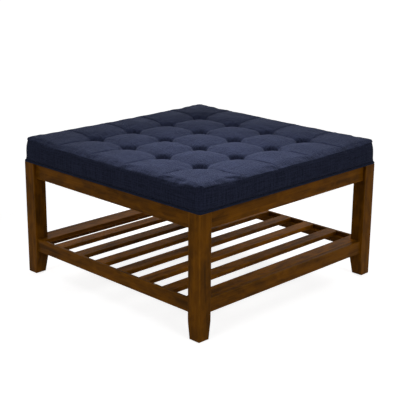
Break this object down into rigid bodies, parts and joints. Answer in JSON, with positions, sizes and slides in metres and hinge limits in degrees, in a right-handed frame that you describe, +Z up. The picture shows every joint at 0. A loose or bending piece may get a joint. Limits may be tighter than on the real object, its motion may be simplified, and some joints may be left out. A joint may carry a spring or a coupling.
{
  "type": "footrest",
  "caption": "Square footrest: tufted, board-backed fabric cushion on a wooden frame with tapered legs, aprons and a slatted lower shelf.",
  "frame": {"origin": "on the floor, under the middle of the footrest", "axes": "+Z up, -Y to the front, and the shelf slats run along X"},
  "size_m": [0.787, 0.787, 0.4504],
  "materials": {
    "stained_wood": "walnut stain under satin lacquer",
    "plain_wood": "unfinished wood",
    "navy_fabric": "navy linen weave",
    "foam": "polyurethane foam",
    "black_cloth": "thin bonded cloth",
    "twine": "waxed twine",
    "zinc_steel": "zinc plated",
    "black_plastic": "matte"
  },
  "bodies": {
    "root": {"apron_back": "stained_wood", "apron_dowels": "plain_wood", "apron_front": "stained_wood", "apron_left": "stained_wood", "apron_right": "stained_wood", "block_screws": "zinc_steel", "cleat_screws": "zinc_steel", "corner_block_back_left": "plain_wood", "corner_block_back_right": "plain_wood", "corner_block_front_left": "plain_wood", "corner_block_front_right": "plain_wood", "cover_band": "navy_fabric", "cover_staples": "zinc_steel", "cover_top": "navy_fabric", "cushion_board": "plain_wood", "cushion_foam": "foam", "cushion_screws": "zinc_steel", "dust_cover": "black_cloth", "glide_nails": "zinc_steel", "leg_back_left": "stained_wood", "leg_back_right": "stained_wood", "leg_bolts": "zinc_steel", "leg_front_left": "stained_wood", "leg_front_right": "stained_wood", "leg_glides": "black_plastic", "leg_nuts": "zinc_steel", "leg_washers": "zinc_steel", "rail_dowels": "plain_wood", "shelf_rail_back": "stained_wood", "shelf_rail_front": "stained_wood", "shelf_rail_left": "stained_wood", "shelf_rail_right": "stained_wood", "shelf_slat_1": "stained_wood", "shelf_slat_2": "stained_wood", "shelf_slat_3": "stained_wood", "shelf_slat_4": "stained_wood", "shelf_slat_5": "stained_wood", "shelf_slat_6": "stained_wood", "shelf_slat_7": "stained_wood", "shelf_slat_8": "stained_wood", "slat_cleat_left": "stained_wood", "slat_cleat_right": "stained_wood", "slat_screws": "zinc_steel", "tuft_buttons": "navy_fabric", "tuft_twines": "twine", "twine_washers": "zinc_steel", "welt_cord": "navy_fabric"}
  },
  "joints": []
}
